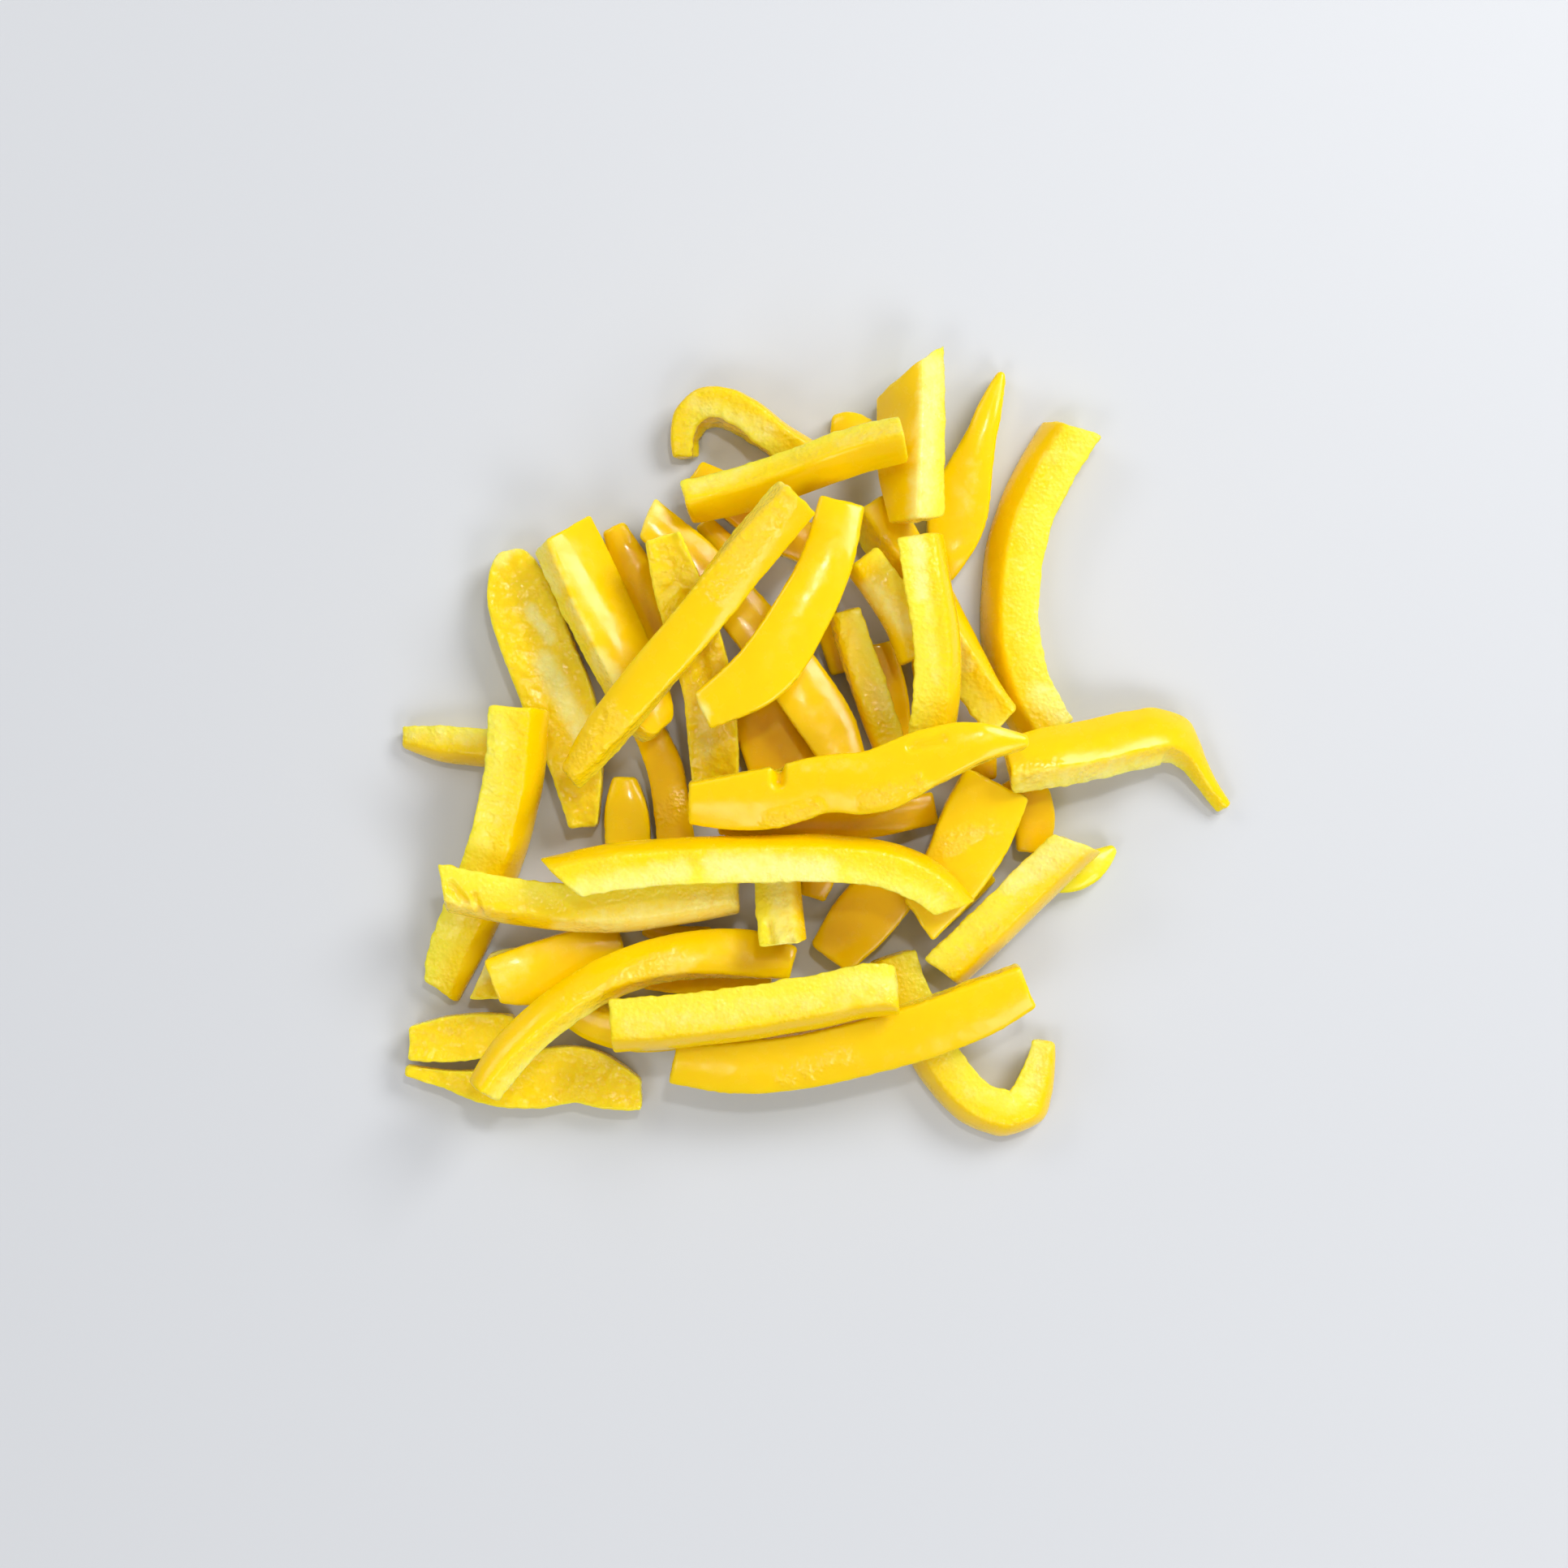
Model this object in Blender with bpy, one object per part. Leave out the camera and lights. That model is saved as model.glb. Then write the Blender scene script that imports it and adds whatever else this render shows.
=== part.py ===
"""A yellow bell pepper cut lengthwise into strips and heaped on a flat surface.

Each strip is one solid: a bar of pepper wall with its skin on one side, the soft inner side on the
other, and a flat knife cut along both edges and across both ends. The strips are listed from the
bottom of the heap to the top. Each is laid along its own route, seen from above, and then lowered
until it rests on the surface or on the strips already there.

Lengths in the strip list are millimetres. The model is in metres, +Z up, with its origin under the
middle of the heap, on the surface that the heap stands on.
"""

import math
from dataclasses import dataclass

import bmesh
import bpy
import numpy as np

MM = 0.001

# Driving sizes of the pepper.
WALL = 7.2  # thickness of the pepper's wall
SKIN_BULGE = 0.9  # how far the skin stands out between a strip's two cut edges
INNER_HOLLOW = 0.5  # how far the inner side dips between them
TIP_WALL = 0.3  # share of the wall that is left where a strip runs out to a point
TIP_WIDTH = 7.0  # a strip narrower than this grows thinner too

# Driving sizes of the build.
STATION = 4.6  # spacing of the cross-sections along a strip
CLEARANCE = 0.3  # gap kept between strips
CELL = 0.5  # size of the squares in which the height of the heap is kept
REACH = 110.0  # the height map runs this far from the middle of the heap
SAMPLE = 0.35  # spacing of the points that feel for what lies below

# How a strip may settle.
STEEPEST = 0.4  # slope along the strip
MOST_TILT = 0.2  # slope across the strip
TILT_COST = 4.0  # drop in height that tilting by one in one has to earn
MOST_FLEX = 4.0  # rise or fall of the middle against the ends
FLEX_COST = 0.25  # drop in height that flexing by one millimetre has to earn
NUDGES = (0.0, -0.8, 0.8, -1.6, 1.6)  # slips along each axis that are tried
NUDGE_COST = 0.6  # drop in height that slipping by one millimetre has to earn


@dataclass
class Strip:
    """One strip of pepper, seen from above.

    route: (x, y, width) from one end to the other, width being the distance between the cut edges
    roll: degrees at the two ends; 0 is skin up, 180 skin down, 90 skin to the left of the route
    lean: degrees that the cross-section's top is pushed to the left of its foot
    arch: how far the middle stands above the ends
    ends: degrees that the two end cuts are turned from square
    """

    name: str
    route: list
    roll: tuple = (0, 0)
    lean: float = 0.0
    arch: float = 0.0
    ends: tuple = (0, 0)
    wall: float = WALL
    station: float = STATION


HEAP = [
    Strip("sliver_left", [(-88, 1.6, 3), (-80, 0.2, 6.5), (-71, -0.8, 8), (-63.6, -1.6, 8)],
          roll=(-90, -90), lean=16, ends=(-12, 10), wall=6.2),
    Strip("leaf_low_right", [(64.5, -22.4, 1.8), (59.5, -26, 6.6), (54.4, -28, 8), (50, -28.4, 7)],
          wall=5.4),
    Strip("flat_front_left",
          [(-87, -69.8, 2.5), (-77, -72, 4.4), (-67, -73.4, 8.8), (-59, -71.8, 12.4), (-51, -70.6, 12),
           (-43.6, -72.4, 10.8), (-36.6, -75, 6)],
          roll=(180, 180), ends=(0, -20), wall=6.2),
    Strip("lobe_front_left", [(-86, -63.9, 7.2), (-79, -63.2, 9.4), (-71, -62.4, 9.6), (-63.5, -61.4, 7)],
          roll=(180, 180), ends=(8, 0), arch=-0.8, wall=6.6),
    Strip("curved_low_front",
          [(-50.6, -57.6, 7), (-45, -60.4, 8), (-38, -61.8, 8.4), (-31, -61.6, 8.4), (-25, -60.6, 7.6)],
          roll=(-30, -30), wall=5.8),
    Strip("low_front_middle", [(-36, -49, 7), (-28, -49.6, 8), (-19, -49.8, 8), (-9, -49.4, 7)], wall=6),
    Strip("boat_left",
          [(-64.4, 41, 9.5), (-62.4, 31, 14), (-58.2, 19, 15), (-53.8, 8, 15), (-51, -2, 12.4),
           (-49.6, -11, 9), (-49, -18, 6)],
          roll=(180, 180), arch=-1.5, wall=7.4),
    Strip("low_back_left", [(-42.6, 46, 5), (-38.6, 37, 8.4), (-34, 27, 8.4), (-29, 16, 8)], wall=6.4),
    Strip("low_back_middle", [(-25.2, 58, 5), (-17, 52, 9), (-7, 45.4, 9.5), (1, 41, 8)], wall=6.4),
    Strip("low_centre", [(-13, 11, 12), (-9.4, 3, 14.4), (-6, -6, 14.4), (-2, -15, 11)], wall=6.4),
    Strip("low_centre_right", [(13.4, 21, 7), (14.8, 13, 9.4), (16.4, 3, 9), (17.6, -6, 8)], wall=5.8),
    Strip("long_curve_right",
          [(55.4, 67, 8.6), (49.2, 57, 8.6), (44.4, 46, 8.6), (42.2, 34, 8.6), (42.2, 22, 8.6),
           (45, 11, 8.6), (50, 1.8, 8.6)],
          roll=(-90, -90), lean=24, ends=(-14, 0), wall=8.6),
    Strip("offcut_back", [(3.8, 67.6, 4.4), (7.6, 67.2, 6.6), (11, 65.4, 7)], wall=6),
    Strip("spear_back_right",
          [(41, 79, 1.6), (38.6, 72, 5), (36.2, 64.4, 7), (33.7, 57, 10.4), (31.8, 50, 12.6), (30.2, 42, 10),
           (29.2, 34.4, 2)],
          wall=6.2),
    Strip("stub_left", [(-42, -6.6, 5), (-41.6, -12.4, 8.8), (-41, -22, 9.6), (-40, -35, 9)], wall=6.4),
    Strip("under_left",
          [(-36.4, 3.6, 6.6), (-32.6, -5, 7.6), (-31, -14, 7.8), (-29.6, -24, 8), (-27, -34, 8)],
          wall=6.6),
    Strip("arch_right_leg", [(43, -9, 9), (46.2, -14.6, 9.4), (47, -20, 8.4), (46.4, -25, 6.4)], wall=6.2),
    Strip("slope_front_middle", [(21, -25.6, 11), (15.4, -31.8, 13), (9, -39, 13), (3.4, -46, 10)], wall=6.2),
    Strip("hook_front_right",
          [(17, -44.4, 7.6), (19.4, -51.6, 8), (23, -60, 8), (28.4, -69.4, 8.4), (36.4, -76.8, 8.4),
           (43.8, -77.4, 7.6), (47.4, -70.4, 5), (48.8, -62.6, 2.6)],
          roll=(-90, -90), lean=18, station=3.6, wall=8),
    Strip("fill_left_edge", [(-52.6, 44, 4.6), (-51, 34, 6), (-48.8, 24, 6), (-46.4, 14, 4.6)], wall=5.4),
    Strip("fill_middle", [(2, 31, 5), (5.6, 23, 6), (8, 15, 5.4)], wall=4.8),
    Strip("fill_front_middle", [(1.8, -20.4, 6), (1.6, -27, 7), (-0.4, -33, 6)], wall=5.4),
    Strip("fill_middle_right", [(22.6, 22, 4.4), (24.4, 12, 5.4), (26.6, 2, 5.4), (28, -6, 5)], wall=5.4),
    Strip("fill_right", [(31.6, 2.6, 5), (34, -3, 6.6), (35, -8, 5)], wall=5.4),
    Strip("fill_front_left", [(-36, -38, 4.6), (-30, -40.6, 5), (-22, -41, 5)], wall=5),
    Strip("fill_front_right", [(26.6, -38, 4.4), (31.6, -33.4, 5), (37.4, -27.6, 5)], wall=5),
    Strip("fill_back_left", [(-23, 48, 4), (-17.6, 42.6, 5), (-12.4, 38, 4.6)], wall=5),
    Strip("upright_left",
          [(-62, 7.2, 9), (-63, -5, 9.2), (-65.6, -17, 9), (-69.6, -29, 8.8), (-74.6, -40, 7.6),
           (-78, -47.4, 6), (-79.8, -53, 4.4)],
          roll=(90, 90), lean=-20, ends=(0, 18), wall=9.2),
    Strip("slant_front_right", [(53.4, -21.8, 9), (43.8, -31.6, 9.2), (33.8, -41.6, 9.2), (25.6, -49.6, 8.4)],
          roll=(90, 90), lean=-16, ends=(-24, -10), wall=8.2),
    Strip("pale_end_front_left",
          [(-72.8, -49.8, 9), (-68.6, -49.2, 10.4), (-64.4, -49, 10.6), (-60, -49.4, 9.6)],
          roll=(180, 180), ends=(32, 0), wall=5.6),
    Strip("rounded_front_left",
          [(-66, -52, 9.4), (-57.6, -50.6, 13), (-48, -47.4, 12.4), (-39, -44.8, 9.6)],
          ends=(-12, 0), wall=5.8),
    Strip("low_long_middle", [(-20, -16.4, 6), (-6, -17, 6.8), (10, -17, 7), (26, -13.8, 7)], wall=6.2),
    Strip("long_diagonal_low",
          [(-35.2, 47.4, 8.4), (-25.4, 38.6, 9.8), (-14.6, 27, 10.6), (-3.8, 13.4, 12), (3.2, 3, 11.6),
           (7.4, -6, 8.6)],
          ends=(-20, 0), wall=6.8),
    Strip("slant_right",
          [(11.8, 50.6, 9.4), (17.4, 41, 9.8), (24.4, 30, 9), (30.4, 19, 8.6), (34.6, 11, 8.8),
           (39.4, 3.6, 9)],
          roll=(30, 92), ends=(0, -14), wall=7.8),
    Strip("ridge_back_right", [(19, 77.4, 13.4), (19, 68, 14), (19, 56, 13.6), (20, 44.6, 10)],
          roll=(-46, -54), ends=(-38, 0), wall=7.6),
    Strip("wide_back_left",
          [(-51.4, 44, 13), (-47, 34.6, 13.4), (-41.8, 23.8, 13), (-36.4, 12.8, 11.6), (-31, 2, 9.5)],
          roll=(36, 24), ends=(-10, -16), wall=6.8),
    Strip("wet_face_middle", [(5.2, 27, 6.4), (7.8, 18.4, 7.2), (11.2, 8.6, 7.2), (14.8, -1.6, 6.6)],
          roll=(-90, -90), lean=6, wall=6.4),
    Strip("lobe_middle_right", [(8.4, 37, 7), (13, 31, 8.4), (17.4, 23.6, 8.4), (20.4, 16, 7)],
          roll=(-90, -90), lean=12, wall=6.6),
    Strip("hook_back_left",
          [(-27, 60, 4), (-27.2, 65, 5), (-25.2, 69.2, 6.8), (-20.8, 70.6, 8.6), (-15.4, 68.6, 9.8),
           (-7.8, 63.2, 10), (0.4, 58, 9)],
          roll=(90, 58), lean=20, station=2.8, wall=6.2),
    Strip("crossbar_back",
          [(-27, 50.4, 7.4), (-15, 53.2, 8.2), (-3, 57, 8.4), (8, 60.6, 8.4), (18.4, 62.6, 8)],
          roll=(-52, -48), ends=(-6, 0), wall=6.6),
    Strip("inner_back_left",
          [(-32.2, 44, 7.6), (-29.4, 34.4, 10), (-26, 24, 11), (-23, 12.4, 10.8), (-22, 1, 10.6),
           (-21.6, -9, 9.6)],
          roll=(180, 180), wall=6.6),
    Strip("upright_right",
          [(21.6, 42.4, 8.4), (22.8, 33.6, 8.4), (24.6, 24, 8.4), (25.2, 14, 8.4), (24.8, 6, 8.4),
           (23.6, -1.4, 8.4)],
          roll=(90, 90), lean=-14, wall=8.2),
    Strip("arch_right", [(38.6, -8.6, 14.6), (34.6, -17.2, 16), (29.4, -27, 14), (22, -37.4, 10)],
          ends=(0, 20), wall=6.4),
    Strip("arc_front_left",
          [(-68.6, -72.6, 6), (-63, -64.6, 7.4), (-54, -56.4, 7.6), (-44, -50, 8), (-33, -46, 8.6),
           (-22, -44.6, 9.6), (-12, -45, 9.8), (-4.4, -46.8, 7)],
          roll=(52, 4), wall=5.8),
    Strip("torn_end", [(-8, -21.4, 7.4), (-8, -31, 7.6), (-6.8, -42, 7.6)], roll=(78, 78), wall=8.6),
    Strip("bent_arm",
          [(40.4, -5.2, 10.4), (48, -3.6, 11.6), (58, -1.8, 12), (68, 0.4, 11.6), (75.8, 0.8, 10),
           (80.2, -3.4, 4.6), (83.8, -8.8, 3), (87.8, -14, 2.2)],
          roll=(40, 40), station=3.6, wall=6.8),
    Strip("front_long_skin",
          [(-29.6, -67.2, 8.6), (-17, -68, 11.2), (-2, -66.6, 11.8), (12, -63.4, 12), (26, -59.2, 12),
           (37, -54.8, 11.4), (44.6, -51, 9.4)],
          roll=(-8, -4), arch=1, ends=(8, 4), wall=6.6),
    Strip("front_long_inner",
          [(-42.4, -59, 8), (-29, -58, 8.4), (-14, -56.2, 8.6), (0, -53.8, 8.6), (10, -51.6, 8.6),
           (17.2, -51, 7.6)],
          roll=(-90, -90), lean=20, wall=9),
    Strip("upper_front_left",
          [(-76.6, -31.8, 7.4), (-65, -34.2, 8), (-52, -36, 8.2), (-40, -36.4, 8.2), (-28, -35, 8.2),
           (-15, -32.6, 8)],
          roll=(-90, -90), lean=18, ends=(-22, 8), wall=7.8),
    Strip("diagonal_skin_top",
          [(5.8, 50, 9.6), (3, 38.6, 10.8), (-2.6, 26.4, 12), (-10.4, 14.8, 12.6), (-23.2, 6.2, 8)],
          arch=2.5, ends=(0, 10), wall=6.4),
    Strip("thin_diagonal_top",
          [(-3.6, 50.2, 9.2), (-13, 39.2, 9.8), (-24, 25.2, 9.6), (-35, 12.2, 9), (-44, 1.2, 8),
           (-50.8, -7.8, 4.4)],
          roll=(32, -32), arch=1, ends=(0, 14), wall=5.6),
    Strip("s_curve_top",
          [(-26, -12.6, 8.6), (-16, -12.4, 11.6), (-7, -11.2, 12.6), (2, -8.8, 11.8), (12, -8.4, 13),
           (22, -4, 12), (32, -0.8, 9), (43.8, -0.2, 2.4)],
          roll=(-6, 8), arch=2, wall=6.8),
    Strip("long_pale_top",
          [(-52.4, -28.4, 8), (-43, -26.4, 8.4), (-28, -25, 8.6), (-12, -24.6, 8.6), (4, -24.6, 8.6),
           (16, -26.2, 8.4), (24, -30, 8), (29, -34.8, 6)],
          roll=(90, 90), lean=-14, ends=(-36, 26), wall=7.8),
]


def smooth_line(points, count=240):
    """A smooth curve through the given points, as evenly spaced samples along its length."""
    points = np.array(points, float)
    steps = np.linalg.norm(np.diff(points[:, :2], axis=0), axis=1)
    knots = np.concatenate([[0.0], np.cumsum(steps)])
    slopes = np.gradient(points, knots, axis=0)
    samples = np.linspace(0.0, knots[-1], count)
    index = np.clip(np.searchsorted(knots, samples, side="right") - 1, 0, len(knots) - 2)
    span = (knots[index + 1] - knots[index])[:, None]
    t = (samples - knots[index])[:, None] / span
    start, finish = points[index], points[index + 1]
    leave, arrive = slopes[index] * span, slopes[index + 1] * span
    curve = (
        (2 * t**3 - 3 * t**2 + 1) * start
        + (t**3 - 2 * t**2 + t) * leave
        + (3 * t**2 - 2 * t**3) * finish
        + (t**3 - t**2) * arrive
    )
    lengths = np.linalg.norm(np.diff(curve[:, :2], axis=0), axis=1)
    along = np.concatenate([[0.0], np.cumsum(lengths)])
    even = np.linspace(0.0, along[-1], count)
    return np.stack([np.interp(even, along, curve[:, i]) for i in range(3)], axis=1), along[-1]


class Body:
    """The solid of one strip, as a map from a plain bar to its place in the heap."""

    def __init__(self, strip):
        self.strip = strip
        self.line, self.length = smooth_line(strip.route)
        heading = np.gradient(self.line[:, :2], axis=0)
        heading /= np.linalg.norm(heading, axis=1)[:, None]
        self.left = np.stack([-heading[:, 1], heading[:, 0]], axis=1)
        self.centre = self.line[:, :2].mean(axis=0)
        chord = self.line[-1, :2] - self.line[0, :2]
        self.forward = chord / np.linalg.norm(chord)
        self.sideways = np.array([-self.forward[1], self.forward[0]])
        self.shift = np.zeros(2)
        self.height = self.slope = self.tilt = self.flex = 0.0

    def along(self, values, distance):
        """Reads a list kept along the route at these distances from its start."""
        places = np.linspace(0.0, self.length, len(values))
        inside = np.clip(distance, 0.0, self.length)
        return np.stack([np.interp(inside, places, column) for column in values.T], axis=1)

    def shape(self, u, a, b):
        """Bar coordinates to place: u runs 0 to 1 along, a across the cuts, b through the wall."""
        strip = self.strip
        width = self.along(self.line, u * self.length)[:, 2]
        wall = strip.wall * (TIP_WALL + (1 - TIP_WALL) * np.clip(width / TIP_WIDTH, 0, 1))
        dome = 1 - (2 * a) ** 2
        swell = np.where(b > 0, SKIN_BULGE, INNER_HOLLOW) * dome * np.abs(2 * b) * wall / strip.wall
        across, through = a * width, b * wall + swell
        roll = np.radians(np.interp(u, (0, 1), strip.roll))
        side = through * np.sin(roll) + across * np.cos(roll)
        up = through * np.cos(roll) - across * np.sin(roll)
        side += up * math.tan(math.radians(strip.lean))
        turn = [math.tan(math.radians(angle)) for angle in strip.ends]
        distance = u * self.length + side * ((1 - u) * turn[0] + u * turn[1])
        flat = self.along(self.line, distance)[:, :2] + side[:, None] * self.along(self.left, distance)
        heading = self.along(self.left, distance)[:, ::-1] * (1, -1)
        flat += heading * (distance - np.clip(distance, 0.0, self.length))[:, None]
        up += strip.arch * (1 - (2 * u - 1) ** 2)
        return np.column_stack([flat, up])

    def frame(self, points, u):
        """How far points lie ahead of and beside the strip's middle, and how much they rise in a flex."""
        offset = points[:, :2] - self.centre
        return offset @ self.forward, offset @ self.sideways, 1 - (2 * u - 1) ** 2

    def place(self, points, u):
        """Moves shaped points to where the strip has settled."""
        ahead, beside, hump = self.frame(points, u)
        up = points[:, 2] + self.height + self.slope * ahead + self.tilt * beside + self.flex * hump
        return np.column_stack([points[:, :2] + self.shift, up])

    def surface(self):
        """Bar coordinates and places of points spread evenly over the whole surface."""
        widest = max(width for _, _, width in self.strip.route)
        u = np.linspace(0, 1, int(self.length / SAMPLE) + 2)
        a = np.linspace(-0.5, 0.5, int(widest / SAMPLE) + 2)
        b = np.linspace(-0.5, 0.5, int(self.strip.wall / SAMPLE) + 2)
        ends = np.array([0.0, 1.0])
        grids = []
        for along, across, through in ((u, a, ends - 0.5), (u, ends - 0.5, b), (ends, a, b)):
            grids.append(np.array(np.meshgrid(along, across, through)).reshape(3, -1))
        places = np.hstack(grids)
        return places, self.shape(*places)


class Heap:
    """The height of what has been laid down so far, on a square grid."""

    def __init__(self):
        size = int(2 * REACH / CELL)
        self.top = np.full((size, size), -1e3)

    def cells(self, flat):
        index = np.round((flat + REACH) / CELL).astype(int)
        return index[:, 0], index[:, 1]

    def widened(self):
        """The height map with each square raised to its highest neighbour."""
        wide = self.top.copy()
        for dx in (-1, 0, 1):
            for dy in (-1, 0, 1):
                wide = np.maximum(wide, np.roll(self.top, (dx, dy), (0, 1)))
        return wide

    def add(self, points):
        np.maximum.at(self.top, self.cells(points[:, :2]), points[:, 2])


def lowest_rest(need, ahead, beside, hump):
    """The slope, tilt and flex that let the strip's weight lie lowest without touching anything."""
    most = np.array([STEEPEST, MOST_TILT, MOST_FLEX])
    pose = np.zeros(3)
    for reach in (1.0, 0.3, 0.1, 0.03):
        grid = np.meshgrid(np.linspace(-1, 1, 9), np.linspace(-1, 1, 5), np.linspace(-1, 1, 5))
        tries = np.clip(pose + reach * most * np.array(grid).reshape(3, -1).T, -most, most)
        lift = (need - tries @ np.stack([ahead, beside, hump])).max(axis=1)
        cost = lift + tries[:, 2] * 2 / 3 + np.abs(tries) @ np.array([0.0, TILT_COST, FLEX_COST])
        pose = tries[np.argmin(cost)]
    return cost.min(), pose


def most_demanding(need, *others):
    """Keeps only the point of each small patch that needs the most height."""
    keys = np.round(others[0] / 1.5).astype(int) * 1000 + np.round(others[1] / 1.2).astype(int)
    order = np.lexsort((-need, keys))
    chosen = order[np.unique(keys[order], return_index=True)[1]]
    return [values[chosen] for values in (need, *others)]


def settle(body, heap):
    """Lowers a strip onto the heap, letting it tip, slip and flex a little to lie as low as it can."""
    places, points = body.surface()
    ahead, beside, hump = body.frame(points, places[0])
    below = heap.widened()
    best = (math.inf,)
    for dx in NUDGES:
        for dy in NUDGES:
            under = below[heap.cells(points[:, :2] + (dx, dy))] + CLEARANCE
            need = np.maximum(under, 0.0) - points[:, 2]
            cost, pose = lowest_rest(*most_demanding(need, ahead, beside, hump))
            cost += NUDGE_COST * math.hypot(dx, dy)
            if cost < best[0]:
                best = (cost, dx, dy, pose, need)
    _, dx, dy, (body.slope, body.tilt, body.flex), need = best
    body.height = float(np.max(need - body.slope * ahead - body.tilt * beside - body.flex * hump))
    body.shift = np.array([dx, dy])
    heap.add(body.place(points, places[0]))


def straight_bar(stations):
    """A unit bar along X: three faces wide on the skin and inner sides, one on the cut sides."""
    bar = bmesh.new()
    bmesh.ops.create_cube(bar, size=1.0)
    for axis, cuts in ((0, stations - 1), (1, 2)):
        edges = [e for e in bar.edges if abs(e.verts[0].co[axis] - e.verts[1].co[axis]) > 0.5]
        bmesh.ops.subdivide_edges(bar, edges=edges, cuts=cuts, use_grid_fill=True)
    return bar


def flesh_material():
    """The yellow of the flesh, glossy with its own juice."""
    material = bpy.data.materials.new("pepper_flesh")
    material.use_nodes = True
    shader = material.node_tree.nodes["Principled BSDF"]
    shader.inputs["Base Color"].default_value = (0.87, 0.58, 0.02, 1.0)
    shader.inputs["Roughness"].default_value = 0.3
    shader.inputs["Metallic"].default_value = 0.0
    return material


def build_strip(body, middle, material, collection):
    """Bends a straight bar to the strip's shape and gives it its node."""
    strip = body.strip
    bar = straight_bar(max(6, round(body.length / strip.station)))
    unit = np.array([vertex.co for vertex in bar.verts])
    along = unit[:, 0] + 0.5
    placed = body.place(body.shape(along, unit[:, 1], unit[:, 2]), along)
    placed[:, :2] -= middle
    for vertex, point in zip(bar.verts, placed * MM):
        vertex.co = point
    mesh = bpy.data.meshes.new(strip.name)
    bar.to_mesh(mesh)
    bar.free()
    mesh.materials.append(material)
    collection.objects.link(bpy.data.objects.new(strip.name, mesh))


def main():
    for old in list(bpy.data.objects):
        bpy.data.objects.remove(old)
    collection = bpy.data.collections.new("yellow_pepper_strips")
    bpy.context.scene.collection.children.link(collection)
    heap = Heap()
    bodies = [Body(strip) for strip in HEAP]
    for body in bodies:
        settle(body, heap)
    surfaces = [body.surface() for body in bodies]
    everything = np.vstack(
        [body.place(points, places[0]) for body, (places, points) in zip(bodies, surfaces)]
    )
    middle = (everything[:, :2].min(axis=0) + everything[:, :2].max(axis=0)) / 2
    material = flesh_material()
    for body in bodies:
        build_strip(body, middle, material, collection)
    print(f"{len(bodies)} strips, middle {middle.round(2)}, height {everything[:, 2].max():.1f} mm")


main()
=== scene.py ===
# %% [markdown]
# # A yellow bell pepper, cut into strips
#
# A whole pepper has been sliced lengthwise and the strips are heaped up, wet from washing. Each
# strip is a bar of pepper wall: smooth skin on one side, the soft inner side on the other, and a
# fresh knife cut down both edges and across both ends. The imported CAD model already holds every
# strip as a plain bent bar. This lesson keeps those bars as the frame and gives each of them its
# flesh: rounded knife edges, a grainy wet cut, a bumpy inner side, and a colour that runs from
# deep yellow skin to pale flesh.

# %% Load the frame
import math

import bmesh
import bpy
import numpy as np
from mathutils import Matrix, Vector, noise


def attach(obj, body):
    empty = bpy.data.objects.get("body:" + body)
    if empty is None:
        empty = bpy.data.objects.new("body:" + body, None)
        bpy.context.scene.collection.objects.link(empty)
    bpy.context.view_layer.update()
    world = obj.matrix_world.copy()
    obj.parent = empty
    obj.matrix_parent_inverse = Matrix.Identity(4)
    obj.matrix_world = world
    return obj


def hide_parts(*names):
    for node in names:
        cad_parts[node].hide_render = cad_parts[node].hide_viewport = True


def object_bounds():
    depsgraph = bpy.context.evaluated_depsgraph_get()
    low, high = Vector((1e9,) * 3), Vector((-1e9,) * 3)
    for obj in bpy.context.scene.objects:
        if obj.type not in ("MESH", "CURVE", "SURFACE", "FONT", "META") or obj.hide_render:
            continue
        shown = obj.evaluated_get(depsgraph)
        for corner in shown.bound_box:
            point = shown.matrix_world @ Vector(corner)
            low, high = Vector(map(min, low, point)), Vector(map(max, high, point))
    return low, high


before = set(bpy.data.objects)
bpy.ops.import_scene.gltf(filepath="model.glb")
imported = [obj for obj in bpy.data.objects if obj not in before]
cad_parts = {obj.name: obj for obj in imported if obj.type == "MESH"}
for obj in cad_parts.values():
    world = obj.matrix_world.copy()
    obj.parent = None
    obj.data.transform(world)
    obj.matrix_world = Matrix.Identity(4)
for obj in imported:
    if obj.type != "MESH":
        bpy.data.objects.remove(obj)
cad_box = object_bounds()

MM = 0.001
cad_size = [round((high - low) / MM, 1) for low, high in zip(*cad_box)]
print(f"{len(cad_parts)} strips in the frame, {cad_size} mm over all")

# %% [markdown]
# ## The camera
#
# The heap is looked at from straight above, from a little over half a metre, a little to the left
# and in front of its middle. A longer lens further off would flatten the heap, and a wide lens
# close by would lean its sides outwards.

# %% Camera
PLAN_SHIFT = np.array([0.64, 0.38])  # the strips were planned around this point, in mm
CAMERA_PLAN = (-6.3, -8.8)
CAMERA_HEIGHT = 0.62
FIELD_WIDTH = 0.3285
FIELD_HEIGHT = 0.015
SENSOR = 36.0

camera_data = bpy.data.cameras.new("overhead_camera")
camera_data.sensor_width = SENSOR
camera_data.lens = SENSOR * (CAMERA_HEIGHT - FIELD_HEIGHT) / FIELD_WIDTH
camera = bpy.data.objects.new("overhead_camera", camera_data)
bpy.context.scene.collection.objects.link(camera)
camera.location = (*((np.array(CAMERA_PLAN) - PLAN_SHIFT) * MM), CAMERA_HEIGHT)
camera.rotation_euler = (0.0, 0.0, 0.0)
bpy.context.scene.camera = camera
print(f"camera {CAMERA_HEIGHT} m up, lens {camera_data.lens:.1f} mm")

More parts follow.
